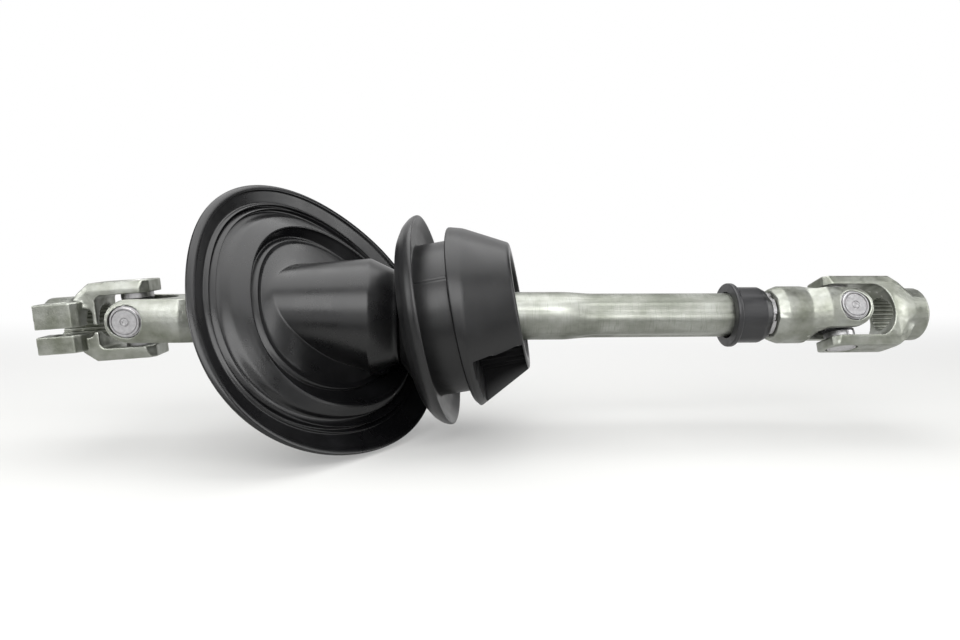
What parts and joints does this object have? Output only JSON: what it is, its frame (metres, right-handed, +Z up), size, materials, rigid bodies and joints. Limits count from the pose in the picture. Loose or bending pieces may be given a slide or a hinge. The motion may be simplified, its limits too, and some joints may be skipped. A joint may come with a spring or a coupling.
{
  "type": "steering shaft joint",
  "caption": "Lower steering shaft: universal joints at both ends, a sliding fluted tube, a pinch clamp yoke, a column socket, a stepped floor boot and a bulkhead seal.",
  "frame": {"origin": "on the shaft axis, within the bulkhead seal's panel groove", "axes": "+X along the shaft towards the column socket; +Z up as the part is shown; the pinch clamp yoke is at -X, with its lugs on the -Y side"},
  "size_m": [0.4756, 0.1291, 0.1372],
  "materials": {
    "zinc_steel": "zinc plated forging, satin",
    "bearing_steel": "ground bearing steel",
    "nylon": "natural nylon",
    "black_plastic": "moulded, semi gloss",
    "boot_rubber": "moulded, semi gloss",
    "seal_rubber": "moulded, satin",
    "lip_rubber": "moulded, matt"
  },
  "bodies": {
    "bulkhead": {"floor_boot": "boot_rubber", "bulkhead_seal": "seal_rubber", "seal_bush": "black_plastic"},
    "lower_shaft": {"lower_shaft_yoke": "zinc_steel", "outer_tube": "zinc_steel", "tube_collar": "black_plastic", "tube_liner": "nylon", "lower_shaft_cup_front": "bearing_steel", "lower_shaft_needles_front": "bearing_steel", "lower_shaft_cup_rear": "bearing_steel", "lower_shaft_needles_rear": "bearing_steel"},
    "lower_cross": {"lower_cross": "bearing_steel", "lower_cross_seal_front": "lip_rubber", "lower_cross_seal_rear": "lip_rubber", "lower_cross_seal_top": "lip_rubber", "lower_cross_seal_bottom": "lip_rubber"},
    "clamp": {"clamp_yoke": "zinc_steel", "clamp_cup_top": "bearing_steel", "clamp_needles_top": "bearing_steel", "clamp_cup_bottom": "bearing_steel", "clamp_needles_bottom": "bearing_steel"},
    "upper_shaft": {"inner_shaft": "zinc_steel", "stop_ring": "zinc_steel", "upper_shaft_yoke": "zinc_steel", "upper_shaft_cup_front": "bearing_steel", "upper_shaft_needles_front": "bearing_steel", "upper_shaft_cup_rear": "bearing_steel", "upper_shaft_needles_rear": "bearing_steel"},
    "upper_cross": {"upper_cross": "bearing_steel", "upper_cross_seal_front": "lip_rubber", "upper_cross_seal_rear": "lip_rubber", "upper_cross_seal_top": "lip_rubber", "upper_cross_seal_bottom": "lip_rubber"},
    "socket": {"socket_yoke": "zinc_steel", "socket_cup_top": "bearing_steel", "socket_needles_top": "bearing_steel", "socket_cup_bottom": "bearing_steel", "socket_needles_bottom": "bearing_steel"}
  },
  "joints": [
    {"name": "shaft_spin", "type": "hinge", "parent": "bulkhead", "child": "lower_shaft", "pos_m": [0, 0, 0], "axis": [1, 0, 0], "continuous": true},
    {"name": "lower_cross_swing", "type": "hinge", "parent": "lower_shaft", "child": "lower_cross", "pos_m": [-0.1676, 0, 0], "axis": [0, 1, 0], "range_deg": [-18, 26]},
    {"name": "clamp_swing", "type": "hinge", "parent": "lower_cross", "child": "clamp", "pos_m": [-0.1676, 0, 0], "axis": [-0.0698, 0, 0.9976], "range_deg": [-22, 22]},
    {"name": "shaft_slide", "type": "slide", "parent": "lower_shaft", "child": "upper_shaft", "axis": [1, 0, 0], "range_m": [0, 0.03]},
    {"name": "upper_cross_swing", "type": "hinge", "parent": "upper_shaft", "child": "upper_cross", "pos_m": [0.2167, 0, 0], "axis": [0, 0.9239, -0.3827], "range_deg": [-22, 22]},
    {"name": "socket_swing", "type": "hinge", "parent": "upper_cross", "child": "socket", "pos_m": [0.2167, 0, 0], "axis": [0, 0.3827, 0.9239], "range_deg": [-22, 22]}
  ]
}
